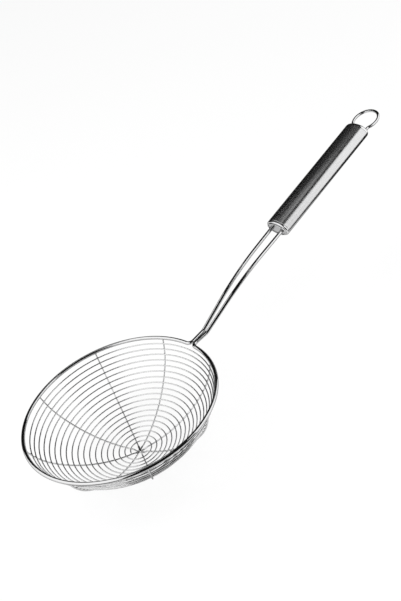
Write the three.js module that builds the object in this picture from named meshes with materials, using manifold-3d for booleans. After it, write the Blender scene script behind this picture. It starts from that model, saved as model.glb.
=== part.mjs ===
// Wire skimmer: a shallow bowl of spiral wire on crossed ribs, carried by one thick frame wire
// whose two ends run side by side into an oval steel handle tube with a hanging loop.
// Millimetres, +Z up, handle towards +X. The origin lies under the hub, on the flat of the lowest rib.

import * as THREE from 'three';
import Module from 'manifold-3d';

const wasm = await Module();
wasm.setup();

// Gap between pieces that are welded or pressed together
const SEAT_GAP = 0.3;

// Bowl
const RIM_RADIUS = 78; // to the rim's centre line
const BOWL_DEPTH = 50.9; // from the rim's centre line to the middle of the hub
const JOIN_SLOPE = 47; // degrees, where the bowl's shallow floor turns into its tighter side
const RIM_SLOPE = 76; // degrees, of the side where it meets the rim
const RIB_COUNT = 4; // wires that cross at the hub, with two spokes each
const RIB_WIRE = 1.2;
const PRESSED_HEIGHT = 0.8; // thickness of a rib where the ribs are pressed together at the hub
const HUB_BLEND = 4; // rib length from the pressed stack to the bowl's curve
const SPIRAL_WIRE = 1;
const SPIRAL_PITCH = 4.75; // along the bowl's wall
const SPIRAL_RIM_GAP = 1; // least free gap between the last turn and the rim

// Frame wire
const FRAME_WIRE = 3;
const NECK_GAP = 0.3; // free gap between the two wires of the neck
const NECK_BEND = 4; // radius of the bend from the rim into the neck
const NECK_LENGTH = 15.5; // from the rim's centre line to the start of the kink
const NECK_ANGLE = 5; // degrees above the rim's plane
const KINK_BEND = 6;
const SHAFT_LENGTH = 108; // from the kink to the front of the handle tube
const SHAFT_BEND = 54; // length of the bent middle of the shaft
const SHAFT_ANGLE = 24.5; // degrees above the rim's plane, just past the kink
const HANDLE_ANGLE = 14.5; // degrees above the rim's plane
const ROD_SPREAD = 1.6; // over 1, the two rods part sooner than evenly
const ROD_INSERT = 14; // length of each rod inside the tube

// Handle
const TUBE_WIDTH = 23.6; // oval, wider than high
const TUBE_HEIGHT = 15.6;
const TUBE_WALL = 1;
const TUBE_LENGTH = 114.5;
const EDGE_BREAK = 0.2;
const SPIGOT_LENGTH = 5; // part of a cap that stands in the tube
const FRONT_SHOULDER = 1.5; // radius of the front cap's outer edge
const FRONT_FLANGE = 0.6; // straight side of the front cap
const BEAD_WIDTH = 0.75; // raised ring round the front cap's plate
const BEAD_HEIGHT = 0.9;
const PLATE_RECESS = 0.7; // depth of the plate below the ring
const PLATE_MARGIN = 1.95; // material between a rod's hole and the ring
const HOLE_CLEARANCE = 0.35;
const REAR_SHOULDER = 3; // radius of the rear cap's outer edge

// Hanging loop
const LOOP_WIRE = 2.4;
const LOOP_FLARE = 3.2; // how far the ring stands out past its legs, to each side
const LOOP_BEND = 3; // radius of the bend from the ring into its legs
const LEG_INSET = 3.5; // from the tube's outer side to the middle of a leg
const LEG_STANDOFF = 2; // straight leg outside the rear cap
const LEG_INSERT = 6;

// Facets
const OVAL_STEPS = 40;
const HOLE_SIDES = 16;
const FRAME_SIDES = 10;
const RIB_SIDES = 8;
const SPIRAL_SIDES = 6;
const LOOP_SIDES = 10;
const RIM_STEPS = 72;
const BEND_STEPS = 6;
const NECK_STEPS = 2;
const KINK_STEPS = 4;
const STRAIGHT_STEPS = 3;
const SHAFT_STEPS = 6;
const RING_STEPS = 24;
const RIB_STEPS = 10;
const BLEND_STEPS = 4;
const STEPS_PER_SPOKE = 3;
const SHOULDER_STEPS = 5;

const radians = THREE.MathUtils.degToRad;
const smoothstep = THREE.MathUtils.smoothstep;
const lerp = THREE.MathUtils.lerp;

// Bowl: a floor arc and a side arc that meet smoothly and end on the rim's centre line
const joinSlope = radians(JOIN_SLOPE);
const rimSlope = radians(RIM_SLOPE);
const sideReach = Math.sin(rimSlope) - Math.sin(joinSlope);
const sideRise = Math.cos(joinSlope) - Math.cos(rimSlope);
const floorReach = Math.sin(joinSlope);
const floorRise = 1 - Math.cos(joinSlope);
const shares = floorReach * sideRise - sideReach * floorRise;
const floorRadius = (RIM_RADIUS * sideRise - BOWL_DEPTH * sideReach) / shares;
const sideRadius = (BOWL_DEPTH * floorReach - RIM_RADIUS * floorRise) / shares;
const floorLength = floorRadius * joinSlope;
const wallLength = floorLength + sideRadius * (rimSlope - joinSlope);

// Hub: the ribs lie over each other, pressed flat
const spokeAngle = Math.PI / RIB_COUNT;
const pressedWidth = RIB_WIRE ** 2 / PRESSED_HEIGHT;
const stackStep = PRESSED_HEIGHT + SEAT_GAP;
const ribFlat = Math.cos(Math.PI / RIB_SIDES);
const hubHeight = (stackStep * (RIB_COUNT - 1) + PRESSED_HEIGHT * ribFlat) / 2;
const rimHeight = hubHeight + BOWL_DEPTH;
const hubFlat = (pressedWidth + SEAT_GAP) / 2 / Math.sin(spokeAngle / 2);
const hubReach = hubFlat + HUB_BLEND;

// Spiral, held inside the ribs
const spiralInset = (RIB_WIRE + SPIRAL_WIRE) / 2 + SEAT_GAP;
const stepsPerTurn = 2 * RIB_COUNT * STEPS_PER_SPOKE;
const spiralStart = hubReach + SPIRAL_WIRE / 2 + SEAT_GAP;
const spiralLimit = wallLength - (FRAME_WIRE + SPIRAL_WIRE) / 2 - SPIRAL_RIM_GAP;
const spiralSpokes = Math.floor((spiralLimit - spiralStart) / SPIRAL_PITCH * 2 * RIB_COUNT);
const spiralSteps = spiralSpokes * STEPS_PER_SPOKE;
const spiralStartAngle = spokeAngle * (RIB_COUNT - 0.5);

// Handle and what passes through its ends
const spigotInset = TUBE_WALL + SEAT_GAP;
const plateInset = FRONT_SHOULDER + BEAD_WIDTH;
const rodHole = FRAME_WIRE / 2 + HOLE_CLEARANCE;
const rodOffset = TUBE_WIDTH / 2 - plateInset - PLATE_MARGIN - rodHole;
const neckOffset = (FRAME_WIRE + NECK_GAP) / 2;
const legHole = LOOP_WIRE / 2 + HOLE_CLEARANCE;
const legOffset = TUBE_WIDTH / 2 - LEG_INSET;
const loopRadius = legOffset + LOOP_FLARE;
const frontRise = SEAT_GAP + FRONT_FLANGE + FRONT_SHOULDER;
const rearRise = SEAT_GAP + REAR_SHOULDER;

const polishedSteel = new THREE.MeshStandardMaterial({ color: 0xb9bcc0, metalness: 1, roughness: 0.18 });
const wireSteel = new THREE.MeshStandardMaterial({ color: 0xa6a9ad, metalness: 1, roughness: 0.25 });
const brushedSteel = new THREE.MeshStandardMaterial({ color: 0x8f9296, metalness: 1, roughness: 0.42 });

// Skin over a row of rings with the same number of points each. A wrapped row joins its last ring
// to its first, and any other row gets a flat face on each end.
function skin(rings, wrapped) {
  const sides = rings[0].length;
  const end = (rings.length - 1) * sides;
  const index = [];
  for (let i = 0; i < rings.length - (wrapped ? 0 : 1); i += 1) {
    const here = i * sides;
    const next = (i + 1) % rings.length * sides;
    for (let k = 0; k < sides; k += 1) {
      const other = (k + 1) % sides;
      index.push(here + k, here + other, next + k, here + other, next + other, next + k);
    }
  }
  for (let k = 1; k < sides - 1 && !wrapped; k += 1) {
    index.push(0, k + 1, k, end, end + k, end + k + 1);
  }
  const geometry = new THREE.BufferGeometry().setFromPoints(rings.flat());
  geometry.setIndex(index);
  geometry.computeVertexNormals();
  return geometry;
}

// A closed bar along a path. The section is an ellipse of halfSize(i) = [across, upright] half sizes,
// where across starts along the given side direction and is carried along without twist.
function bar(path, side, sides, halfSize) {
  const last = path.length - 1;
  const across = side.clone();
  const rings = path.map((point, i) => {
    const before = point.clone().sub(path[Math.max(i - 1, 0)]).normalize();
    const after = path[Math.min(i + 1, last)].clone().sub(point).normalize();
    const along = before.add(after).normalize();
    across.addScaledVector(along, -across.dot(along)).normalize();
    const upright = along.clone().cross(across);
    const [wide, high] = halfSize(i);
    return Array.from({ length: sides }, (_, k) => {
      const turn = (k + 0.5) * 2 * Math.PI / sides;
      const corner = point.clone().addScaledVector(across, wide * Math.cos(turn));
      return corner.addScaledVector(upright, high * Math.sin(turn));
    });
  });
  return skin(rings, false);
}

function roundBar(path, side, sides, diameter) {
  return bar(path, side, sides, () => [diameter / 2, diameter / 2]);
}

// Points of a circular arc in the XY plane, from one angle to another
function arc(centreX, centreY, radius, from, to, steps) {
  return Array.from({ length: steps + 1 }, (_, i) => {
    const angle = lerp(from, to, i / steps);
    return new THREE.Vector3(centreX + radius * Math.cos(angle), centreY + radius * Math.sin(angle), 0);
  });
}

// A ring in the XY plane that opens towards +X into two legs parallel to X, at y = legY and y = -legY.
// Returns the ring's arc, the bend into the upper leg, and the x where that leg starts.
function openRing(radius, bend, legY, ringSteps, bendSteps) {
  const bendY = legY + bend;
  const bendX = Math.sqrt((radius + bend) ** 2 - bendY ** 2);
  const mouth = Math.atan2(bendY, bendX);
  return {
    ring: arc(0, 0, radius, mouth, 2 * Math.PI - mouth, ringSteps),
    bend: arc(bendX, bendY, bend, Math.PI + mouth, 1.5 * Math.PI, bendSteps),
    legX: bendX,
  };
}

function mirrored(points) {
  return points.map((point) => new THREE.Vector3(point.x, -point.y, point.z));
}

// Steps along a level or climbing line in the XZ plane that turns evenly by the given angle
function advance(points, heading, length, turn, steps) {
  for (let i = 0; i < steps; i += 1) {
    const angle = heading + turn * (i + 0.5) / steps;
    const last = points.at(-1);
    const stride = new THREE.Vector3(Math.cos(angle), 0, Math.sin(angle));
    points.push(last.clone().addScaledVector(stride, length / steps));
  }
}

// One rod of the frame wire, from the neck to its end in the handle, with the rim's plane at z = 0
function rodPath(startX) {
  const neckTilt = radians(NECK_ANGLE);
  const climb = radians(SHAFT_ANGLE);
  const handleTilt = radians(HANDLE_ANGLE);
  const neck = RIM_RADIUS + NECK_LENGTH - startX;
  const kink = KINK_BEND * (climb - neckTilt);
  const straight = (SHAFT_LENGTH - SHAFT_BEND) / 2;
  const points = [new THREE.Vector3(startX, 0, 0)];
  advance(points, neckTilt, neck, 0, NECK_STEPS);
  advance(points, neckTilt, kink, climb - neckTilt, KINK_STEPS);
  advance(points, climb, straight, 0, STRAIGHT_STEPS);
  advance(points, climb, SHAFT_BEND, handleTilt - climb, SHAFT_STEPS);
  advance(points, handleTilt, straight, 0, STRAIGHT_STEPS);
  const handleFront = points.at(-1).clone();
  let left = 1;
  points.forEach((point, i) => {
    left -= point.distanceTo(points[Math.max(i - 1, 0)].clone().setY(0)) / (neck + kink + SHAFT_LENGTH);
    point.y = lerp(rodOffset, neckOffset, Math.max(left, 0) ** ROD_SPREAD);
  });
  advance(points, handleTilt, ROD_INSERT, 0, 1);
  return { points, handleFront };
}

const rimRing = openRing(RIM_RADIUS, NECK_BEND, neckOffset, RIM_STEPS, BEND_STEPS);
const rod = rodPath(rimRing.legX);

function frameWire() {
  const leg = [...rimRing.bend.slice(1), ...rod.points.slice(1)];
  const path = [...leg.slice().reverse(), ...rimRing.ring, ...mirrored(leg)];
  const geometry = roundBar(path, new THREE.Vector3(0, 0, 1), FRAME_SIDES, FRAME_WIRE);
  return geometry.translate(0, 0, rimHeight);
}

// Point of the wall at a distance from the hub along the ribs, moved towards the inside by the inset
function wallPoint(distance, inset) {
  const inFloor = distance < floorLength;
  const radius = inFloor ? floorRadius : sideRadius;
  const slope = inFloor ? distance / floorRadius : joinSlope + (distance - floorLength) / sideRadius;
  const centreX = (floorRadius - radius) * Math.sin(joinSlope);
  const centreZ = hubHeight + floorRadius - (floorRadius - radius) * Math.cos(joinSlope);
  return {
    radius: centreX + (radius - inset) * Math.sin(slope),
    height: centreZ - (radius - inset) * Math.cos(slope),
  };
}

function ribWire(number) {
  const angle = spokeAngle * (number + RIB_COUNT / 2 - 0.5);
  const level = stackStep * (number - (RIB_COUNT + 1) / 2);
  const end = wallLength - FRAME_WIRE / 2 - SEAT_GAP;
  const distances = [];
  for (let i = 0; i < BLEND_STEPS; i += 1) {
    distances.push(lerp(hubFlat, hubReach, i / BLEND_STEPS));
  }
  for (let i = 0; i <= RIB_STEPS; i += 1) {
    distances.push(lerp(hubReach, end, i / RIB_STEPS));
  }
  const outward = new THREE.Vector3(Math.cos(angle), Math.sin(angle), 0);
  const spoke = (sign) => distances.map((distance) => {
    const { radius, height } = wallPoint(distance, 0);
    const rise = smoothstep(distance, hubFlat, hubReach);
    return outward.clone().multiplyScalar(sign * radius).setZ(lerp(hubHeight + level, height, rise));
  });
  const path = [...spoke(-1).reverse(), ...spoke(1)];
  const reach = [...distances.slice().reverse(), ...distances];
  const across = new THREE.Vector3(-outward.y, outward.x, 0);
  return bar(path, across, RIB_SIDES, (i) => {
    const round = smoothstep(reach[i], hubFlat, hubFlat + HUB_BLEND / 2);
    return [lerp(pressedWidth, RIB_WIRE, round) / 2, lerp(PRESSED_HEIGHT, RIB_WIRE, round) / 2];
  });
}

function spiralPath() {
  return Array.from({ length: spiralSteps + 1 }, (_, i) => {
    const turns = i / stepsPerTurn;
    const around = spiralStartAngle - 2 * Math.PI * turns;
    const { radius, height } = wallPoint(spiralStart + SPIRAL_PITCH * turns, spiralInset);
    return new THREE.Vector3(radius * Math.cos(around), radius * Math.sin(around), height);
  });
}

// Least free gap between any point of the spiral and the turn outside it
function leastSpiralGap(path) {
  const segment = new THREE.Line3();
  const nearest = new THREE.Vector3();
  let least = Infinity;
  path.forEach((point, i) => {
    const from = i + stepsPerTurn / 2;
    const to = Math.min(i + stepsPerTurn * 1.5, path.length - 1);
    for (let k = from; k < to; k += 1) {
      segment.set(path[k], path[k + 1]).closestPointToPoint(point, true, nearest);
      least = Math.min(least, nearest.distanceTo(point) - SPIRAL_WIRE);
    }
  });
  return least;
}

function spiralWire() {
  const path = spiralPath();
  console.log(`spiral wire: least gap to itself ${leastSpiralGap(path).toFixed(2)} mm`);
  return roundBar(path, new THREE.Vector3(0, 0, 1), SPIRAL_SIDES, SPIRAL_WIRE);
}

// Rings of the handle's oval about Z, wide along Y, from points [inset from the tube's side, height]
function ovalRings(profile) {
  return profile.map(([inset, height]) => Array.from({ length: OVAL_STEPS }, (_, k) => {
    const turn = k * 2 * Math.PI / OVAL_STEPS;
    const x = (TUBE_HEIGHT / 2 - inset) * Math.cos(turn);
    const y = (TUBE_WIDTH / 2 - inset) * Math.sin(turn);
    return new THREE.Vector3(x, y, height);
  }));
}

function handleTube() {
  return skin(ovalRings([
    [TUBE_WALL, 0],
    [EDGE_BREAK, 0],
    [0, EDGE_BREAK],
    [0, TUBE_LENGTH - EDGE_BREAK],
    [EDGE_BREAK, TUBE_LENGTH],
    [TUBE_WALL, TUBE_LENGTH],
  ]), true);
}

// Quarter round profile from the tube's side to a flat top
function shoulder(base, radius) {
  return Array.from({ length: SHOULDER_STEPS + 1 }, (_, i) => {
    const angle = Math.PI / 2 * i / SHOULDER_STEPS;
    return [radius * (1 - Math.cos(angle)), base + radius * Math.sin(angle)];
  });
}

// Part of a cap below the tube's end face: the spigot, up to the seat of the flange
const capFoot = [
  [spigotInset + EDGE_BREAK, -SPIGOT_LENGTH],
  [spigotInset, EDGE_BREAK - SPIGOT_LENGTH],
  [spigotInset, SEAT_GAP],
];

function toSolid(geometry) {
  return new wasm.Manifold(new wasm.Mesh({
    numProp: 3,
    vertProperties: geometry.attributes.position.array,
    triVerts: new Uint32Array(geometry.index.array),
  }));
}

function toGeometry(solid) {
  const mesh = solid.getMesh();
  const geometry = new THREE.BufferGeometry();
  geometry.setAttribute('position', new THREE.Float32BufferAttribute(mesh.vertProperties, 3));
  geometry.setIndex(new THREE.Uint32BufferAttribute(mesh.triVerts, 1));
  geometry.computeVertexNormals();
  return geometry;
}

// A cap with two holes right through it, at y = offset and y = -offset
function drilledCap(profile, offset, holeRadius) {
  const reach = TUBE_LENGTH / 2;
  let solid = toSolid(skin(ovalRings(profile), false));
  for (const y of [offset, -offset]) {
    const line = [new THREE.Vector3(0, y, -reach), new THREE.Vector3(0, y, reach)];
    const drill = roundBar(line, new THREE.Vector3(1, 0, 0), HOLE_SIDES, 2 * holeRadius);
    solid = solid.subtract(toSolid(drill));
  }
  return toGeometry(solid);
}

function frontCap() {
  const beadTop = frontRise + BEAD_HEIGHT;
  const beadEdge = BEAD_WIDTH / 3;
  return drilledCap([
    ...capFoot,
    ...shoulder(SEAT_GAP + FRONT_FLANGE, FRONT_SHOULDER),
    [FRONT_SHOULDER, beadTop - beadEdge],
    [FRONT_SHOULDER + beadEdge, beadTop],
    [plateInset - beadEdge, beadTop],
    [plateInset, beadTop - beadEdge],
    [plateInset, beadTop - PLATE_RECESS],
  ], rodOffset, rodHole);
}

function rearCap() {
  return drilledCap([...capFoot, ...shoulder(SEAT_GAP, REAR_SHOULDER)], legOffset, legHole);
}

// Loop in the plane of the two rods, with its legs standing in the rear cap's holes
function hangingLoop() {
  const ring = openRing(loopRadius, LOOP_BEND, legOffset, RING_STEPS, BEND_STEPS);
  const legEnd = new THREE.Vector3(ring.legX + LEG_STANDOFF + LEG_INSERT, legOffset, 0);
  const leg = [...ring.bend.slice(1), legEnd];
  const path = [...leg.slice().reverse(), ...ring.ring, ...mirrored(leg)];
  const geometry = roundBar(path, new THREE.Vector3(0, 0, 1), LOOP_SIDES, LOOP_WIRE);
  geometry.translate(-ring.legX - LEG_STANDOFF, 0, 0);
  return geometry.rotateY(Math.PI / 2);
}

function piece(name, geometry, material) {
  const mesh = new THREE.Mesh(geometry, material);
  mesh.name = name;
  return mesh;
}

const skimmer = new THREE.Group();
skimmer.add(piece('frame_wire', frameWire(), wireSteel));
for (let number = 1; number <= RIB_COUNT; number += 1) {
  skimmer.add(piece(`rib_wire_${number}`, ribWire(number), wireSteel));
}
skimmer.add(piece('spiral_wire', spiralWire(), wireSteel));

// The handle's own frame has +Z along the tube, from its front end to the loop
const handle = new THREE.Group();
handle.position.set(rod.handleFront.x, 0, rimHeight + rod.handleFront.z);
handle.rotation.y = Math.PI / 2 - radians(HANDLE_ANGLE);
handle.add(piece('handle_tube', handleTube(), brushedSteel));

const front = piece('front_cap', frontCap(), polishedSteel);
front.rotation.x = Math.PI;
handle.add(front);

const rear = piece('rear_cap', rearCap(), polishedSteel);
rear.position.z = TUBE_LENGTH;
handle.add(rear);

const loop = piece('hanging_loop', hangingLoop(), wireSteel);
loop.position.z = TUBE_LENGTH + rearRise;
handle.add(loop);
skimmer.add(handle);

export default skimmer;
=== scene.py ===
"""Looks of a wire skimmer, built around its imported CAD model.

Sizes are in millimetres, and angles are written in degrees.
"""

import math

import bmesh
import bpy
import numpy as np
from mathutils import Matrix, Vector


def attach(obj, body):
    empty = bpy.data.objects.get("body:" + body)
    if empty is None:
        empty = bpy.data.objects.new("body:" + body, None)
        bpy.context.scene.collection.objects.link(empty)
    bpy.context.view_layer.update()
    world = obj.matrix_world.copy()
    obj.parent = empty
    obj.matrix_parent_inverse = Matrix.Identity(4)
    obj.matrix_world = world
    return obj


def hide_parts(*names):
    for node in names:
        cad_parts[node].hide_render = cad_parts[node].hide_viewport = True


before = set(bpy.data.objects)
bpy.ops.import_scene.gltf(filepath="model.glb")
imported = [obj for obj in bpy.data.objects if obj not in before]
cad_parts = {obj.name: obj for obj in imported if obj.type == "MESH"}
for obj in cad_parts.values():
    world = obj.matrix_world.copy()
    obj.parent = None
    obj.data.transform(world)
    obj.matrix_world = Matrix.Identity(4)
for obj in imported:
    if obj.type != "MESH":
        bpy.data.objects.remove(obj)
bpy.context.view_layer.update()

MM = 0.001
UP = np.array([0.0, 0.0, 1.0])

# Sizes of the part, the same as in its solids
SEAT_GAP = 0.3
RIM_RADIUS = 78.0
BOWL_DEPTH = 50.9
JOIN_SLOPE = math.radians(47)
RIM_SLOPE = math.radians(76)
RIB_COUNT = 4
RIB_WIRE = 1.2
RIB_SOLID_SIDES = 8
PRESSED_HEIGHT = 0.8
HUB_BLEND = 4.0
SPIRAL_WIRE = 1.0
SPIRAL_PITCH = 4.75
SPIRAL_RIM_GAP = 1.0
FRAME_WIRE = 3.0
NECK_GAP = 0.3
NECK_BEND = 4.0
NECK_LENGTH = 15.5
NECK_ANGLE = math.radians(5)
KINK_BEND = 6.0
SHAFT_LENGTH = 108.0
SHAFT_BEND = 54.0
SHAFT_ANGLE = math.radians(24.5)
HANDLE_ANGLE = math.radians(14.5)
ROD_SPREAD = 1.6
ROD_INSERT = 14.0
TUBE_WIDTH = 23.6
TUBE_HEIGHT = 15.6
TUBE_WALL = 1.0
TUBE_LENGTH = 114.5
EDGE_BREAK = 0.2
SPIGOT_LENGTH = 5.0
FRONT_SHOULDER = 1.5
FRONT_FLANGE = 0.6
BEAD_WIDTH = 0.75
BEAD_HEIGHT = 0.9
PLATE_RECESS = 0.7
PLATE_MARGIN = 1.95
HOLE_CLEARANCE = 0.35
REAR_SHOULDER = 3.0
LOOP_WIRE = 2.4
LOOP_FLARE = 3.2
LOOP_BEND = 3.0
LEG_INSET = 3.5
LEG_STANDOFF = 2.0
LEG_INSERT = 6.0

# Half sizes of the welds, where the neck's weld starts, and the width of the rear seam
SPOT_WELD = (0.62, 0.62, 0.4)
RIB_END_WELD = (0.85, 0.85, 0.7)
HUB_WELD = (1.75, 1.75, 1.6)
NECK_WELD = (5.2, 0.6, 0.7)
NECK_WELD_START = 4.0
REAR_SEAM = 0.04

# Fineness of the meshes
FRAME_SIDES = 24
RIB_SIDES = 16
SPIRAL_SIDES = 12
RIM_STEPS = 288
LOOP_STEPS = 96
BEND_STEPS = 16
NECK_STEPS = 8
KINK_STEPS = 8
SHAFT_STEPS = 14
SHAFT_BEND_STEPS = 28
INSERT_STEPS = 4
HUB_STEPS = 12
SPOKE_STEPS = 48
SPIRAL_STEPS = 9
OVAL_STEPS = 128
HOLE_STEPS = 48
TUBE_ROWS = 24
FRONT_ROUND_STEPS = 12
BEAD_STEPS = 8
REAR_ROUND_STEPS = 16
DROP_ROWS = 7
DROP_SIDES = 12
WIRE_EDGE_SHARE = 0.1
WALL_STEP = 0.1
SHARP_ANGLE = math.radians(35)

# The bowl's wall is two arcs that meet at the join's slope: a wide floor and a tighter side
side_reach = math.sin(RIM_SLOPE) - math.sin(JOIN_SLOPE)
side_rise = math.cos(JOIN_SLOPE) - math.cos(RIM_SLOPE)
floor_reach = math.sin(JOIN_SLOPE)
floor_rise = 1 - math.cos(JOIN_SLOPE)
shares = floor_reach * side_rise - side_reach * floor_rise
floor_radius = (RIM_RADIUS * side_rise - BOWL_DEPTH * side_reach) / shares
side_radius = (BOWL_DEPTH * floor_reach - RIM_RADIUS * floor_rise) / shares
floor_length = floor_radius * JOIN_SLOPE
wall_length = floor_length + side_radius * (RIM_SLOPE - JOIN_SLOPE)

# Other values that follow from the sizes
spoke_angle = math.pi / RIB_COUNT
pressed_width = RIB_WIRE ** 2 / PRESSED_HEIGHT
stack_step = PRESSED_HEIGHT + SEAT_GAP
rib_flat = math.cos(math.pi / RIB_SOLID_SIDES)
hub_height = (stack_step * (RIB_COUNT - 1) + PRESSED_HEIGHT * rib_flat) / 2
rim_height = hub_height + BOWL_DEPTH
hub_flat = (pressed_width + SEAT_GAP) / 2 / math.sin(spoke_angle / 2)
hub_reach = hub_flat + HUB_BLEND

spiral_inset = (RIB_WIRE + SPIRAL_WIRE) / 2 + SEAT_GAP
spiral_start = hub_reach + SPIRAL_WIRE / 2 + SEAT_GAP
spiral_limit = wall_length - (FRAME_WIRE + SPIRAL_WIRE) / 2 - SPIRAL_RIM_GAP
spiral_spokes = math.floor((spiral_limit - spiral_start) / SPIRAL_PITCH * 2 * RIB_COUNT)
spiral_start_angle = spoke_angle * (RIB_COUNT - 0.5)

spigot_inset = TUBE_WALL + SEAT_GAP
plate_inset = FRONT_SHOULDER + BEAD_WIDTH
rod_hole = FRAME_WIRE / 2 + HOLE_CLEARANCE
rod_offset = TUBE_WIDTH / 2 - plate_inset - PLATE_MARGIN - rod_hole
neck_offset = (FRAME_WIRE + NECK_GAP) / 2
leg_hole = LOOP_WIRE / 2 + HOLE_CLEARANCE
leg_offset = TUBE_WIDTH / 2 - LEG_INSET
loop_radius = leg_offset + LOOP_FLARE
front_rise = SEAT_GAP + FRONT_FLANGE + FRONT_SHOULDER
rear_rise = SEAT_GAP + REAR_SHOULDER


def smoothstep(value, low, high):
    share = np.clip((value - low) / (high - low), 0, 1)
    return share * share * (3 - 2 * share)


def lerp(start, end, share):
    return start + (end - start) * share


def unit(vectors):
    return vectors / np.linalg.norm(vectors, axis=-1, keepdims=True)


# Centre lines of the wires

def arc(centre_x, centre_y, radius, start, end, steps):
    angle = np.linspace(start, end, steps + 1)
    across = centre_x + radius * np.cos(angle)
    return np.column_stack([across, centre_y + radius * np.sin(angle), np.zeros_like(angle)])


def open_ring(radius, bend, leg_y, ring_steps):
    """A ring that opens towards +X: its arc, the bend into the upper leg, and where that leg starts."""
    bend_y = leg_y + bend
    bend_x = math.sqrt((radius + bend) ** 2 - bend_y ** 2)
    mouth = math.atan2(bend_y, bend_x)
    ring = arc(0, 0, radius, mouth, 2 * math.pi - mouth, ring_steps)
    return ring, arc(bend_x, bend_y, bend, math.pi + mouth, 1.5 * math.pi, BEND_STEPS), bend_x


def two_legged(leg, ring):
    """One path: in along the leg, round the ring, and out along the mirrored leg."""
    return np.concatenate([leg[::-1], ring, leg * (1, -1, 1)])


def advance(points, heading, length, turn, steps):
    """Adds points to a path in the XZ plane that goes on for a length and turns evenly on its way."""
    for i in range(steps):
        angle = heading + turn * (i + 0.5) / steps
        stride = np.array([math.cos(angle), 0, math.sin(angle)])
        points.append(points[-1] + stride * length / steps)


def rod_path(start_x):
    """One rod from the neck to its end in the handle, and the point where it enters the tube."""
    neck = RIM_RADIUS + NECK_LENGTH - start_x
    kink = KINK_BEND * (SHAFT_ANGLE - NECK_ANGLE)
    straight = (SHAFT_LENGTH - SHAFT_BEND) / 2
    points = [np.array([start_x, 0.0, 0.0])]
    advance(points, NECK_ANGLE, neck, 0, NECK_STEPS)
    advance(points, NECK_ANGLE, kink, SHAFT_ANGLE - NECK_ANGLE, KINK_STEPS)
    advance(points, SHAFT_ANGLE, straight, 0, SHAFT_STEPS)
    advance(points, SHAFT_ANGLE, SHAFT_BEND, HANDLE_ANGLE - SHAFT_ANGLE, SHAFT_BEND_STEPS)
    advance(points, HANDLE_ANGLE, straight, 0, SHAFT_STEPS)
    tube_front = points[-1].copy()
    line = np.array(points)
    done = np.concatenate([[0], np.cumsum(np.linalg.norm(np.diff(line, axis=0), axis=1))])
    left = np.clip(1 - done / done[-1], 0, 1)
    line[:, 1] = lerp(rod_offset, neck_offset, left ** ROD_SPREAD)
    points = list(line)
    advance(points, HANDLE_ANGLE, ROD_INSERT, 0, INSERT_STEPS)
    return np.array(points), tube_front


def wall_point(distance, inset):
    """Radius and height of the bowl's wall at a distance from the hub along the ribs."""
    in_floor = distance < floor_length
    radius = np.where(in_floor, floor_radius, side_radius)
    side_slope = JOIN_SLOPE + (distance - floor_length) / side_radius
    slope = np.where(in_floor, distance / floor_radius, side_slope)
    centre_x = (floor_radius - radius) * math.sin(JOIN_SLOPE)
    centre_z = hub_height + floor_radius - (floor_radius - radius) * math.cos(JOIN_SLOPE)
    return centre_x + (radius - inset) * np.sin(slope), centre_z - (radius - inset) * np.cos(slope)


def spiral_path():
    """The spiral from the hub outwards, just inside the ribs."""
    spokes = np.arange(spiral_spokes * SPIRAL_STEPS + 1) / SPIRAL_STEPS
    turns = spokes / (2 * RIB_COUNT)
    around = spiral_start_angle - 2 * math.pi * turns
    radius, height = wall_point(spiral_start + SPIRAL_PITCH * turns, spiral_inset)
    return np.column_stack([radius * np.cos(around), radius * np.sin(around), height])


def rib_path(number):
    """Centre line of a rib, its distances from the hub and the direction of its first spoke."""
    angle = spoke_angle * (number + RIB_COUNT / 2 - 0.5)
    level = stack_step * (number - (RIB_COUNT + 1) / 2)
    end = wall_length - FRAME_WIRE / 2 - SEAT_GAP
    distance = np.concatenate([
        np.linspace(hub_flat, hub_reach, HUB_STEPS, endpoint=False),
        np.linspace(hub_reach, end, SPOKE_STEPS),
    ])
    radius, height = wall_point(distance, 0)
    height = lerp(hub_height + level, height, smoothstep(distance, hub_flat, hub_reach))
    outward = np.array([math.cos(angle), math.sin(angle), 0])
    spoke = np.outer(radius, outward) + np.outer(height, UP)
    back = np.outer(-radius, outward) + np.outer(height, UP)
    return np.concatenate([back[::-1], spoke]), np.concatenate([distance[::-1], distance]), outward


# Meshes

def skin(rings, wrapped):
    """Faces over rows of rings. A row that isn't wrapped gets a flat face on each end."""
    count, sides = rings.shape[:2]
    faces = []
    for i in range(count if wrapped else count - 1):
        here = i * sides
        there = (i + 1) % count * sides
        for k in range(sides):
            other = (k + 1) % sides
            faces.append((here + k, here + other, there + other, there + k))
    if not wrapped:
        faces.append(tuple(range(sides))[::-1])
        faces.append(tuple(range((count - 1) * sides, count * sides)))
    return faces


def surface_uv(mesh, rings, wrapped):
    """A UV map in metres: u runs round the rings and v from ring to ring."""
    count, sides = rings.shape[:2]
    middle_ring = rings[count // 2]
    girth = np.linalg.norm(middle_ring - np.roll(middle_ring, 1, axis=0), axis=1).sum()
    if wrapped:
        step = np.linalg.norm(rings - np.roll(rings, -1, axis=0), axis=2).max(axis=1)
    else:
        step = np.linalg.norm(np.diff(rings.mean(axis=1), axis=0), axis=1)
    along = np.concatenate([[0], np.cumsum(step)])
    layer = mesh.uv_layers.new(name="UVMap")
    values = np.zeros((len(mesh.loops), 2), np.float32)
    at = 0
    for low, high in zip(along, along[1:]):
        for k in range(sides):
            left = k / sides * girth
            right = (k + 1) / sides * girth
            values[at:at + 4] = [(left, low), (right, low), (right, high), (left, high)]
            at += 4
    layer.data.foreach_set("uv", (values * MM).ravel())


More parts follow.
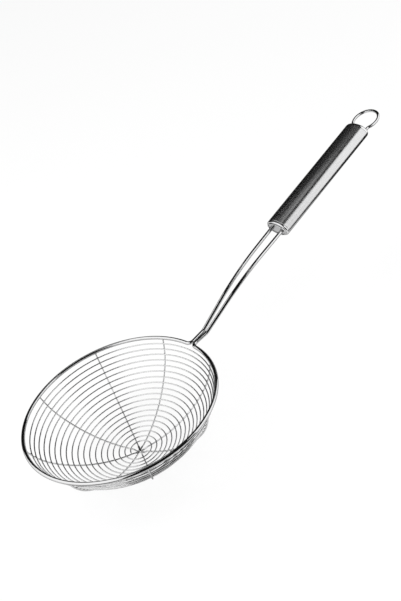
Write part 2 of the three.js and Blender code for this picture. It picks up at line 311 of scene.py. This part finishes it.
def piece_from_mesh(name, mesh, material, nodes):
    mesh.polygons.foreach_set("use_smooth", [True] * len(mesh.polygons))
    mesh.set_sharp_from_angle(angle=SHARP_ANGLE)
    mesh.materials.append(material)
    piece = bpy.data.objects.new(name, mesh)
    bpy.context.scene.collection.objects.link(piece)
    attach(piece, "root")
    if nodes:
        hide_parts(*nodes)


def ring_piece(name, rings, material, nodes, wrapped=False):
    mesh = bpy.data.meshes.new(name)
    mesh.from_pydata((rings.reshape(-1, 3) * MM).tolist(), [], skin(rings, wrapped))
    surface_uv(mesh, rings, wrapped)
    piece_from_mesh(name, mesh, material, nodes)


def bar_rings(path, side, sides, half_sizes, edge):
    """Elliptic rings along a path, with a small broken edge at each end."""
    along = np.empty_like(path)
    along[1:-1] = unit(path[1:-1] - path[:-2]) + unit(path[2:] - path[1:-1])
    along[0] = path[1] - path[0]
    along[-1] = path[-1] - path[-2]
    along = unit(along)
    turn = (np.arange(sides) + 0.5) * 2 * math.pi / sides
    across = np.array(side, float)
    rings = []
    for point, ahead, (wide, high) in zip(path, along, half_sizes):
        across = unit(across - ahead * across.dot(ahead))
        upright = np.cross(ahead, across)
        rings.append(point + np.outer(wide * np.cos(turn), across) + np.outer(high * np.sin(turn), upright))
    rings = np.array(rings)
    first = path[0] + (rings[0] - path[0]) * (1 - edge / half_sizes[0][1])
    last = path[-1] + (rings[-1] - path[-1]) * (1 - edge / half_sizes[-1][1])
    body = rings.copy()
    body[0] += along[0] * edge
    body[-1] -= along[-1] * edge
    return np.concatenate([first[None], body, last[None]])


def wire(name, path, side, sides, diameter, material, node):
    half_sizes = [(diameter / 2, diameter / 2)] * len(path)
    rings = bar_rings(path, side, sides, half_sizes, diameter * WIRE_EDGE_SHARE)
    ring_piece(name, rings, material, [node])


def rib(number, material):
    """A round wire that is pressed flat at the hub."""
    path, distance, outward = rib_path(number)
    share = smoothstep(distance, hub_flat, hub_flat + HUB_BLEND / 2)
    width = lerp(pressed_width, RIB_WIRE, share)
    height = lerp(PRESSED_HEIGHT, RIB_WIRE, share)
    half_sizes = np.column_stack([width, height]) / 2
    across = np.array([-outward[1], outward[0], 0])
    rings = bar_rings(path, across, RIB_SIDES, half_sizes, RIB_WIRE * WIRE_EDGE_SHARE)
    name = f"rib_wire_{number}"
    ring_piece("visual_" + name, rings, material, [name])


# Handle pieces, in the handle's own frame: +Z along the tube from its front end, Y across

def handle_frame(points, tube_front):
    """Points of the handle's own frame, moved to where the handle is."""
    along = np.array([math.cos(HANDLE_ANGLE), 0, math.sin(HANDLE_ANGLE)])
    lift = np.array([math.sin(HANDLE_ANGLE), 0, -math.cos(HANDLE_ANGLE)])
    place = tube_front + UP * rim_height
    x, y, z = points[..., 0:1], points[..., 1:2], points[..., 2:3]
    return place + x * lift + y * np.array([0, 1, 0]) + z * along


def oval_rings(profile):
    """Oval rings from pairs of an inset from the tube's outside and a height."""
    turn = np.arange(OVAL_STEPS) * 2 * math.pi / OVAL_STEPS
    rings = []
    for inset, height in profile:
        x = (TUBE_HEIGHT / 2 - inset) * np.cos(turn)
        y = (TUBE_WIDTH / 2 - inset) * np.sin(turn)
        rings.append(np.column_stack([x, y, np.full(OVAL_STEPS, height)]))
    return np.array(rings)


def quarter(inset, base, radius, steps):
    """Quarter round profile from a side to a flat top."""
    angle = np.linspace(0, math.pi / 2, steps + 1)
    return [(inset + radius * (1 - math.cos(a)), base + radius * math.sin(a)) for a in angle]


def hole_rings(y, radius, bottom, top):
    """Rings of a hole from its back to its front, where the edge is broken."""
    turn = np.arange(HOLE_STEPS) * 2 * math.pi / HOLE_STEPS
    rings = []
    for height, reach in ((bottom, radius), (top - EDGE_BREAK, radius), (top, radius + EDGE_BREAK)):
        across = y + reach * np.sin(turn)
        rings.append(np.column_stack([reach * np.cos(turn), across, np.full(HOLE_STEPS, height)]))
    return rings


def add_loops(mesh_data, rings):
    return [[mesh_data.verts.new(point) for point in ring] for ring in rings]


def bridge(mesh_data, low, high):
    count = len(low)
    for k in range(count):
        other = (k + 1) % count
        mesh_data.faces.new((low[k], low[other], high[other], high[k]))


def close_flat(mesh_data, loops):
    """Closes a flat face inside its outline and round its holes."""
    edges = []
    for loop in loops:
        for a, b in zip(loop, loop[1:] + loop[:1]):
            edges.append(mesh_data.edges.get((a, b)) or mesh_data.edges.new((a, b)))
    bmesh.ops.triangle_fill(mesh_data, edges=edges, use_beauty=True)


def face_outwards(mesh_data):
    bmesh.ops.recalc_face_normals(mesh_data, faces=mesh_data.faces)
    if mesh_data.calc_volume(signed=True) < 0:
        bmesh.ops.reverse_faces(mesh_data, faces=mesh_data.faces)


def drilled_cap(name, profile, offset, hole_radius, to_world, material, node):
    """A cap with two holes right through it, each with a broken edge in front."""
    mesh_data = bmesh.new()
    body = add_loops(mesh_data, oval_rings(profile))
    for low, high in zip(body, body[1:]):
        bridge(mesh_data, low, high)
    front_loops, back_loops = [body[-1]], [body[0]]
    for y in (offset, -offset):
        hole = add_loops(mesh_data, hole_rings(y, hole_radius, profile[0][1], profile[-1][1]))
        for low, high in zip(hole, hole[1:]):
            bridge(mesh_data, high, low)
        front_loops.append(hole[-1])
        back_loops.append(hole[0])
    close_flat(mesh_data, front_loops)
    close_flat(mesh_data, back_loops)
    points = to_world(np.array([vert.co[:] for vert in mesh_data.verts]))
    for vert, point in zip(mesh_data.verts, points):
        vert.co = point * MM
    face_outwards(mesh_data)
    mesh = bpy.data.meshes.new(name)
    mesh_data.to_mesh(mesh)
    mesh_data.free()
    piece_from_mesh(name, mesh, material, [node])


# Materials
QUARTER_TURN = 0.25
# Edge tint: painted shade. The steel's reflection turns darker at grazing angles, so the edges of the wires,
# handle and caps show dark
EDGE_SHADE_TINT = (0.3, 0.3, 0.3, 1)
LINE_DETAIL = 4.0
LINE_ROUGHNESS = 0.6
LINE_DEPTH = 0.04
BLOTCH_SCALE = 140.0
BLOTCH_DETAIL = 3.0


def node_tree(name):
    material = bpy.data.materials.new(name)
    material.use_nodes = True
    tree = material.node_tree
    return material, tree, tree.nodes["Principled BSDF"]


def add_node(tree, kind, **inputs):
    node = tree.nodes.new(kind)
    for key, value in inputs.items():
        node.inputs[key].default_value = value
    return node


def steel(name, pale, dark, roughness, grain, bump, anisotropic=0.0):
    """Steel with fine lines and a blotchy gloss.

    grain is the scale of the lines per metre: round the piece and along it, or in X, Y and Z.
    """
    material, tree, shader = node_tree(name)
    stretch = tree.nodes.new("ShaderNodeMapping")
    stretch.inputs["Scale"].default_value = (*grain, 1)[:3]
    lines = add_node(tree, "ShaderNodeTexNoise", Scale=1.0, Detail=LINE_DETAIL, Roughness=LINE_ROUGHNESS)
    blotches = add_node(tree, "ShaderNodeTexNoise", Scale=BLOTCH_SCALE, Detail=BLOTCH_DETAIL)
    position = tree.nodes.new("ShaderNodeTexCoord")
    colour = tree.nodes.new("ShaderNodeMix")
    colour.data_type = "RGBA"
    colour.inputs["A"].default_value = (*dark, 1)
    colour.inputs["B"].default_value = (*pale, 1)
    finish = add_node(tree, "ShaderNodeMapRange", **{"To Min": roughness[0], "To Max": roughness[1]})
    height = add_node(tree, "ShaderNodeBump", Strength=bump, Distance=LINE_DEPTH * MM)
    link = tree.links.new
    link(position.outputs["UV" if len(grain) == 2 else "Object"], stretch.inputs["Vector"])
    link(stretch.outputs["Vector"], lines.inputs["Vector"])
    link(position.outputs["Object"], blotches.inputs["Vector"])
    link(lines.outputs["Fac"], colour.inputs["Factor"])
    link(colour.outputs["Result"], shader.inputs["Base Color"])
    link(blotches.outputs["Fac"], finish.inputs["Value"])
    link(finish.outputs["Result"], shader.inputs["Roughness"])
    link(lines.outputs["Fac"], height.inputs["Height"])
    link(height.outputs["Normal"], shader.inputs["Normal"])
    shader.inputs["Metallic"].default_value = 1.0
    # Painted shade: the specular tint darkens the reflection towards the edges
    shader.inputs["Specular Tint"].default_value = EDGE_SHADE_TINT
    shader.inputs["Anisotropic"].default_value = anisotropic
    shader.inputs["Anisotropic Rotation"].default_value = QUARTER_TURN
    if anisotropic:
        tangent = tree.nodes.new("ShaderNodeTangent")
        tangent.direction_type = "UV_MAP"
        tangent.uv_map = "UVMap"
        link(tangent.outputs["Tangent"], shader.inputs["Tangent"])
    return material


frame_steel = steel("frame_steel", (0.62, 0.62, 0.62), (0.55, 0.55, 0.555),
                    roughness=(0.04, 0.1), grain=(900, 40), bump=0.03)
basket_steel = steel("basket_steel", (0.72, 0.72, 0.72), (0.64, 0.64, 0.645),
                     roughness=(0.05, 0.12), grain=(1500, 60), bump=0.03)
handle_steel = steel("handle_steel", (0.62, 0.62, 0.62), (0.52, 0.52, 0.525),
                     roughness=(0.24, 0.3), grain=(30, 1500), bump=0.03, anisotropic=0.9)
cap_steel = steel("cap_steel", (0.66, 0.66, 0.66), (0.59, 0.59, 0.595),
                  roughness=(0.06, 0.14), grain=(300, 300, 300), bump=0.04)
weld_steel = steel("weld_steel", (0.62, 0.62, 0.62), (0.54, 0.54, 0.54),
                   roughness=(0.12, 0.22), grain=(1800, 1800, 1800), bump=0.05)

# The wires
rim_ring, rim_bend, rim_leg_x = open_ring(RIM_RADIUS, NECK_BEND, neck_offset, RIM_STEPS)
rod_points, handle_front = rod_path(rim_leg_x)
frame_path = two_legged(np.concatenate([rim_bend[1:], rod_points[1:]]), rim_ring) + UP * rim_height
wire("visual_frame_wire", frame_path, UP, FRAME_SIDES, FRAME_WIRE,
     frame_steel, "frame_wire")
for rib_number in range(1, RIB_COUNT + 1):
    rib(rib_number, basket_steel)
wire("visual_spiral_wire", spiral_path(), UP, SPIRAL_SIDES, SPIRAL_WIRE,
     basket_steel, "spiral_wire")


# Welds: small drops of steel in the gaps between the wires

def drop(centre, axes, half_sizes):
    """A closed ellipsoid round a centre, as points and faces. axes are its three directions."""
    points = [centre - axes[2] * half_sizes[2]]
    for lift in np.radians(np.linspace(-90, 90, DROP_ROWS + 2)[1:-1]):
        for turn in np.radians(np.arange(DROP_SIDES) * 360 / DROP_SIDES):
            flat = math.cos(lift)
            steps = np.array([flat * math.cos(turn), flat * math.sin(turn), math.sin(lift)]) * half_sizes
            points.append(centre + steps @ axes)
    points.append(centre + axes[2] * half_sizes[2])
    last = len(points) - 1
    faces = []
    for k in range(DROP_SIDES):
        other = (k + 1) % DROP_SIDES
        faces.append((0, 1 + other, 1 + k))
        faces.append((last, last - DROP_SIDES + k, last - DROP_SIDES + other))
        for row in range(DROP_ROWS - 1):
            low = 1 + row * DROP_SIDES
            high = low + DROP_SIDES
            faces.append((low + k, low + other, high + other, high + k))
    return points, faces


def weld_piece(name, drops):
    points, faces = [], []
    for spots, sides in drops:
        faces += [tuple(len(points) + corner for corner in face) for face in sides]
        points += spots
    mesh = bpy.data.meshes.new(name)
    mesh.from_pydata((np.array(points) * MM).tolist(), [], faces)
    piece_from_mesh(name, mesh, weld_steel, [])


def wall_frame(distance, around, inset):
    """A point by the bowl's wall, with the directions along the coil, up the wall and out of it."""
    low_radius, low_height = wall_point(distance - WALL_STEP, inset)
    radius, height = wall_point(distance, inset)
    outward = np.array([math.cos(around), math.sin(around), 0])
    coil = np.array([-math.sin(around), math.cos(around), 0])
    rise = unit((radius - low_radius) * outward + (height - low_height) * UP)
    return radius * outward + height * UP, np.array([coil, rise, np.cross(coil, rise)])


def spot_weld(spoke):
    distance = spiral_start + SPIRAL_PITCH * spoke / (2 * RIB_COUNT)
    around = spiral_start_angle - spoke_angle * spoke
    return drop(*wall_frame(distance, around, (RIB_WIRE + SEAT_GAP) / 2), SPOT_WELD)


def rib_end_weld(spoke):
    distance = wall_length - FRAME_WIRE / 2 - SEAT_GAP / 2
    return drop(*wall_frame(distance, spoke_angle * (spoke + 0.5), 0), RIB_END_WELD)


def neck_weld():
    along = np.array([math.cos(NECK_ANGLE), 0, math.sin(NECK_ANGLE)])
    axes = np.array([along, [0, 1, 0], np.cross(along, [0, 1, 0])])
    start = np.array([rim_leg_x, 0, rim_height])
    return drop(start + along * (NECK_WELD_START + NECK_WELD[0]), axes, NECK_WELD)


weld_piece("visual_spot_welds", [spot_weld(spoke) for spoke in range(spiral_spokes + 1)])
weld_piece("visual_rib_end_welds", [rib_end_weld(spoke) for spoke in range(2 * RIB_COUNT)])
weld_piece("visual_hub_weld", [drop(UP * hub_height, np.eye(3), HUB_WELD)])
weld_piece("visual_neck_weld", [neck_weld()])


# The handle

def in_handle(points):
    return handle_frame(points, handle_front)


def in_front_cap(points):
    return in_handle(points * (1, -1, -1))


def in_rear_cap(points):
    return in_handle(points + UP * TUBE_LENGTH)


tube_profile = [
    (TUBE_WALL, 0),
    (EDGE_BREAK, 0),
    (0, EDGE_BREAK),
    *[(0, height) for height in np.linspace(EDGE_BREAK, TUBE_LENGTH - EDGE_BREAK, TUBE_ROWS)[1:-1]],
    (0, TUBE_LENGTH - EDGE_BREAK),
    (EDGE_BREAK, TUBE_LENGTH),
    (TUBE_WALL, TUBE_LENGTH),
]
tube_rings = in_handle(oval_rings(tube_profile))
ring_piece("visual_handle_tube", tube_rings, handle_steel, ["handle_tube"], wrapped=True)

cap_foot = [
    (spigot_inset + EDGE_BREAK, -SPIGOT_LENGTH),
    (spigot_inset, EDGE_BREAK - SPIGOT_LENGTH),
]
bead_top = front_rise + BEAD_HEIGHT
bead_round = BEAD_WIDTH / 2
bead_outside = quarter(FRONT_SHOULDER, bead_top - bead_round, bead_round, BEAD_STEPS)
bead_inside = [(2 * (FRONT_SHOULDER + bead_round) - inset, height) for inset, height in bead_outside[-2::-1]]
front_profile = [
    *cap_foot,
    (spigot_inset, SEAT_GAP),
    (0, SEAT_GAP),
    *quarter(0, SEAT_GAP + FRONT_FLANGE, FRONT_SHOULDER, FRONT_ROUND_STEPS),
    *bead_outside,
    *bead_inside,
    (plate_inset, bead_top - PLATE_RECESS),
]
drilled_cap("visual_front_cap", front_profile, rod_offset, rod_hole, in_front_cap, cap_steel, "front_cap")
rear_profile = [
    *cap_foot,
    (spigot_inset, REAR_SEAM),
    (0, REAR_SEAM),
    *quarter(0, SEAT_GAP, REAR_SHOULDER, REAR_ROUND_STEPS),
]
drilled_cap("visual_rear_cap", rear_profile, leg_offset, leg_hole, in_rear_cap, cap_steel, "rear_cap")

# The hanging loop
loop_ring, loop_bend, loop_leg_x = open_ring(loop_radius, LOOP_BEND, leg_offset, LOOP_STEPS)
leg_end = np.array([[loop_leg_x + LEG_STANDOFF + LEG_INSERT, leg_offset, 0]])
loop_path = two_legged(np.concatenate([loop_bend[1:], leg_end]), loop_ring)
loop_path -= (loop_leg_x + LEG_STANDOFF, 0, 0)
loop_path = loop_path[:, [2, 1, 0]] * (1, 1, -1)
loop_path = in_handle(loop_path + UP * (TUBE_LENGTH + rear_rise))
loop_side = in_handle(np.array([1.0, 0, 0])) - in_handle(np.zeros(3))
wire("visual_hanging_loop", loop_path, loop_side, FRAME_SIDES, LOOP_WIRE,
     frame_steel, "hanging_loop")

# Camera
CAMERA_PLACE = Vector((-204.8, -512.5, 485.05)) * MM
CAMERA_RIGHT = Vector((0.70422648, -0.64801538, -0.29007092))
CAMERA_DOWN = Vector((-0.56925177, -0.2712054, -0.77614435))
CAMERA_FOCAL_PIXELS = 907.4
CAMERA_SENSOR = 36
IMAGE_HEIGHT_PIXELS = 601

camera_data = bpy.data.cameras.new("camera")
camera_data.sensor_width = CAMERA_SENSOR
camera_data.lens = CAMERA_FOCAL_PIXELS / IMAGE_HEIGHT_PIXELS * CAMERA_SENSOR
camera = bpy.data.objects.new("camera", camera_data)
camera_ahead = CAMERA_RIGHT.cross(CAMERA_DOWN)
camera_turn = Matrix((CAMERA_RIGHT, -CAMERA_DOWN, -camera_ahead)).transposed()
camera.matrix_world = Matrix.Translation(CAMERA_PLACE) @ camera_turn.to_4x4()
bpy.context.scene.collection.objects.link(camera)
bpy.context.scene.camera = camera

# White floor and sky
FLOOR_HALF = 8000
FLOOR_DROP = 0.2
FLOOR_OWN_LIGHT = 0.8
FLOOR_COLOUR = 0.9
SKY_LEVEL = 0.7


def background_share(tree):
    """1 for rays that show the background: those of the camera, of gloss and through glass."""
    path = tree.nodes.new("ShaderNodeLightPath")
    share = path.outputs["Is Camera Ray"]
    for name in ("Is Glossy Ray", "Is Transmission Ray"):
        larger = tree.nodes.new("ShaderNodeMath")
        larger.operation = "MAXIMUM"
        tree.links.new(share, larger.inputs[0])
        tree.links.new(path.outputs[name], larger.inputs[1])
        share = larger.outputs[0]
    return share


def floor_look():
    """A white floor that keeps the object's shadow."""
    material, tree, shader = node_tree("floor")
    shader.inputs["Base Color"].default_value = (FLOOR_COLOUR, FLOOR_COLOUR, FLOOR_COLOUR, 1)
    shader.inputs["Roughness"].default_value = 1.0
    glow = add_node(tree, "ShaderNodeEmission", Strength=1.0)
    mix = add_node(tree, "ShaderNodeMixShader")
    lift = add_node(tree, "ShaderNodeMath")
    lift.operation = "MULTIPLY"
    lift.inputs[1].default_value = FLOOR_OWN_LIGHT
    tree.links.new(background_share(tree), lift.inputs[0])
    tree.links.new(lift.outputs[0], mix.inputs[0])
    tree.links.new(shader.outputs[0], mix.inputs[1])
    tree.links.new(glow.outputs[0], mix.inputs[2])
    tree.links.new(mix.outputs[0], tree.nodes["Material Output"].inputs["Surface"])
    return material


def stage_piece(name, points, faces, material):
    mesh = bpy.data.meshes.new(name)
    mesh.from_pydata((np.array(points) * MM).tolist(), [], faces)
    mesh.materials.append(material)
    piece = bpy.data.objects.new(name, mesh)
    bpy.context.scene.collection.objects.link(piece)
    return piece


floor_signs = ((-1, -1), (1, -1), (1, 1), (-1, 1))
floor_corners = [(x * FLOOR_HALF, y * FLOOR_HALF, -FLOOR_DROP) for x, y in floor_signs]
stage_piece("floor", floor_corners, [(0, 1, 2, 3)], floor_look())

world = bpy.data.worlds.new("studio")
world.use_nodes = True
bpy.context.scene.world = world
sky = world.node_tree.nodes["Background"]
sky.inputs["Color"].default_value = (1, 1, 1, 1)
sky_level = add_node(world.node_tree, "ShaderNodeMapRange", **{"To Min": SKY_LEVEL, "To Max": 1.0})
world.node_tree.links.new(background_share(world.node_tree), sky_level.inputs["Value"])
world.node_tree.links.new(sky_level.outputs["Result"], sky.inputs["Strength"])

# Studio flags and softboxes, which show only in reflections
MIDDLE = np.array([100, 0, 60])
CARD_STEP = 6
HANDLE_REACH = 170
HANDLE_TWIST_PER_MM = 0.052
FLOOR_CARD_LEVEL = 0.03


def card(name, points, faces, level):
    material, tree, shader = node_tree(name)
    glow = add_node(tree, "ShaderNodeEmission", Strength=level)
    tree.links.new(glow.outputs[0], tree.nodes["Material Output"].inputs["Surface"])
    tree.nodes.remove(shader)
    piece = stage_piece(name, points, faces, material)
    for ray in ("camera", "diffuse", "shadow", "transmission"):
        setattr(piece, "visible_" + ray, False)


def grid(rows, columns):
    """Faces between rows of points."""
    faces = []
    for row in range(rows):
        for column in range(columns):
            here = row * (columns + 1) + column
            faces.append((here, here + 1, here + columns + 2, here + columns + 1))
    return faces


def curved_card(name, distance, azimuths, elevations, level):
    """A part of a sphere round the object's middle, by directions in degrees."""
    columns = math.ceil((azimuths[1] - azimuths[0]) / CARD_STEP)
    rows = math.ceil((elevations[1] - elevations[0]) / CARD_STEP)
    points = []
    for elevation in np.radians(np.linspace(*elevations, rows + 1)):
        for azimuth in np.radians(np.linspace(*azimuths, columns + 1)):
            flat = math.cos(elevation)
            ray = np.array([flat * math.cos(azimuth), flat * math.sin(azimuth), math.sin(elevation)])
            points.append(MIDDLE + distance * ray)
    card(name, points, grid(rows, columns), level)


def handle_card(name, turns, lengths, level):
    """A part of a tube round the handle, by degrees up from its near side and lengths from its front.

    It twists with the length, so that its edge shows as a straight line on the handle.
    """
    rows = math.ceil((turns[1] - turns[0]) / CARD_STEP)
    points = []
    for turn in np.linspace(*turns, rows + 1):
        for length in lengths:
            angle = math.radians(turn + HANDLE_TWIST_PER_MM * length)
            points.append((-HANDLE_REACH * math.sin(angle), -HANDLE_REACH * math.cos(angle), length))
    card(name, in_handle(np.array(points)), grid(rows, 1), level)


curved_card("camera_side_flag", 420, (-145, -71), (-6, 72), 0.01)
curved_card("right_softbox", 440, (-71, 3), (-6, 57), 1.5)
curved_card("neck_softbox", 410, (-80, -71), (33, 48), 1.5)
curved_card("back_flag", 900, (-10, 117), (-3, 38), 0.01)
curved_card("raised_back_flag", 900, (-10, 98), (38, 50), 0.01)
curved_card("upper_back_flag", 900, (-80, 70), (50, 68), 0.03)
curved_card("top_flag", 900, (-180, 180), (68, 90), 0.02)
curved_card("left_softbox", 920, (96, 215), (5, 68), 1.5)
handle_card("handle_edge_flag", (62, 80), (0, 330), 0.01)
handle_card("handle_front_fill", (80, 97), (60, 130), 0.5)
handle_card("handle_front_shade", (97, 114), (60, 130), 0.22)
handle_card("handle_rear_fill", (80, 114), (130, 330), 0.05)
handle_card("handle_far_flag", (114, 150), (0, 330), 0.015)
handle_card("rod_flag", (80, 114), (0, 60), 0.01)
handle_card("rod_front_flag", (112, 170), (-60, -12), 0.01)

# Dark cards that lie on the floor, just outside the picture's lower and right edges: painted shade that
# shows only in reflections, darkening the edges of the wires and handle that face the floor
lower_left = (-190, 32)
lower_right = (11, -249)
right_edge = (151, -146)
upper_right = (563, 170)
left_near = (-257, -441)
right_near = (280, -450)
floor_cards = [
    [lower_left, (-458, -160), left_near, lower_right],
    [lower_right, left_near, (100, -620), right_near],
    [lower_right, right_near, (200, -190), right_edge],
    [right_edge, (290, -150), (600, -210), upper_right],
]
for number, corners in enumerate(floor_cards, 1):
    floor_points = [(x, y, 0) for x, y in corners]
    card(f"floor_flag_{number}", floor_points, [(0, 1, 2, 3)], FLOOR_CARD_LEVEL)

# Lamps, which reflections don't show
LAMP_DISTANCE = 1400
LAMP_SIZE = 900


def lamp(name, azimuth, elevation, power):
    light = bpy.data.lights.new(name, "AREA")
    light.shape = "DISK"
    light.size = LAMP_SIZE * MM
    light.energy = power
    place = bpy.data.objects.new(name, light)
    turn, lift = math.radians(azimuth), math.radians(elevation)
    ray = Vector((math.cos(lift) * math.cos(turn), math.cos(lift) * math.sin(turn), math.sin(lift)))
    place.location = Vector(MIDDLE * MM) + ray * LAMP_DISTANCE * MM
    place.rotation_mode = "QUATERNION"
    place.rotation_quaternion = ray.to_track_quat("Z", "Y")
    place.visible_glossy = False
    bpy.context.scene.collection.objects.link(place)


lamp("left_lamp", azimuth=150, elevation=50, power=9)
lamp("right_lamp", azimuth=-40, elevation=55, power=6)

bpy.context.scene.view_settings.view_transform = "Standard"
